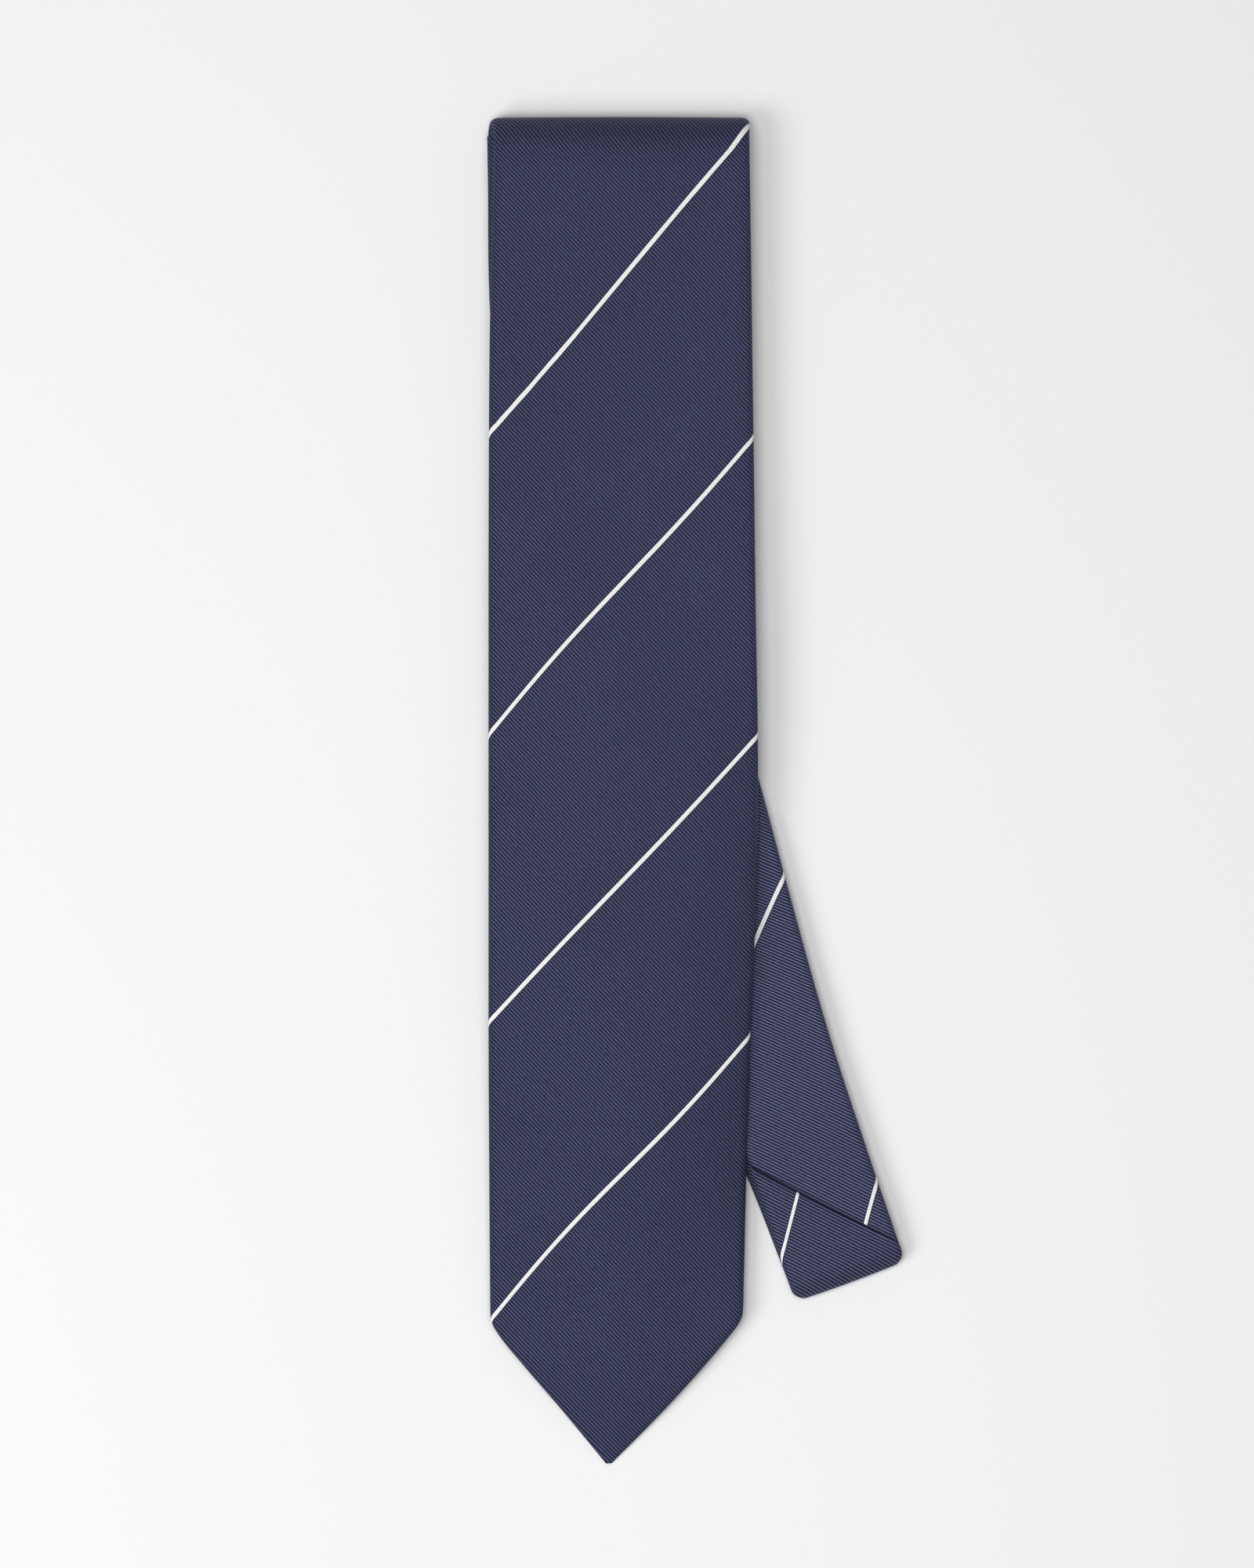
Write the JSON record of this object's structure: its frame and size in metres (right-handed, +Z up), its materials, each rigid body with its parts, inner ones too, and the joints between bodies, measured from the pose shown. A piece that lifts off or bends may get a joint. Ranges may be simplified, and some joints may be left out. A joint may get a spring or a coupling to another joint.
{
  "type": "necktie",
  "caption": "Pointed necktie folded flat in four, blade on top, its narrow neck part slanting out at the right, with lining, keeper loop and stitching inside.",
  "frame": {"origin": "middle of the base, on the table under the middle of the folded tie", "axes": "+Y along the tie towards the top fold, +X to the right as the blade's face is seen from above, +Z up from the table"},
  "size_m": [0.1232, 0.3984, 0.0148],
  "materials": {
    "shell_twill": "navy silk twill with thin off-white stripes, soft sheen",
    "interlining_cloth": "brushed woven wool blend, matte",
    "tipping_cloth": "plain dark navy lining, slight sheen",
    "sewing_thread": "dark navy sewing thread",
    "tack_thread": "navy silk twist",
    "label_satin": "white satin, blank"
  },
  "bodies": {
    "rear": {"blade_shell_rear": "shell_twill", "neck_shell": "shell_twill", "tail_shell_rear": "shell_twill", "neck_join_seam": "shell_twill", "tail_join_seam": "shell_twill", "interlining_rear": "interlining_cloth", "rear_slip_stitch": "sewing_thread", "neck_slip_stitch": "sewing_thread", "blade_shell_fold": "shell_twill", "interlining_fold_outer": "interlining_cloth", "tail_shell_fold": "shell_twill", "interlining_fold_inner": "interlining_cloth"},
    "blade": {"blade_shell_front": "shell_twill", "interlining_front": "interlining_cloth", "blade_tipping": "tipping_cloth", "blade_slip_stitch": "sewing_thread", "blade_bar_tack": "tack_thread", "blade_slack_loop": "sewing_thread", "keeper_loop": "shell_twill", "keeper_tacks": "sewing_thread", "care_label": "label_satin"},
    "tail": {"tail_shell_front": "shell_twill", "interlining_tail": "interlining_cloth", "tail_tipping": "tipping_cloth", "tail_slip_stitch": "sewing_thread", "tail_bar_tack": "tack_thread", "tail_slack_loop": "sewing_thread"}
  },
  "joints": [
    {"name": "blade_fold", "type": "hinge", "parent": "rear", "child": "blade", "pos_m": [-0.02179, 0.19235, 0.00685], "axis": [-1, 0, 0], "range_deg": [0, 180], "deforming": ["blade_shell_fold", "interlining_fold_outer"]},
    {"name": "tail_fold", "type": "hinge", "parent": "rear", "child": "tail", "pos_m": [-0.0442, 0.19235, 0.00685], "axis": [-1, 0, 0], "range_deg": [0, 180], "deforming": ["tail_shell_fold", "interlining_fold_inner"]}
  ],
  "couplings": [
    {"joint": "tail_fold", "follows": "blade_fold", "ratio": 1}
  ]
}
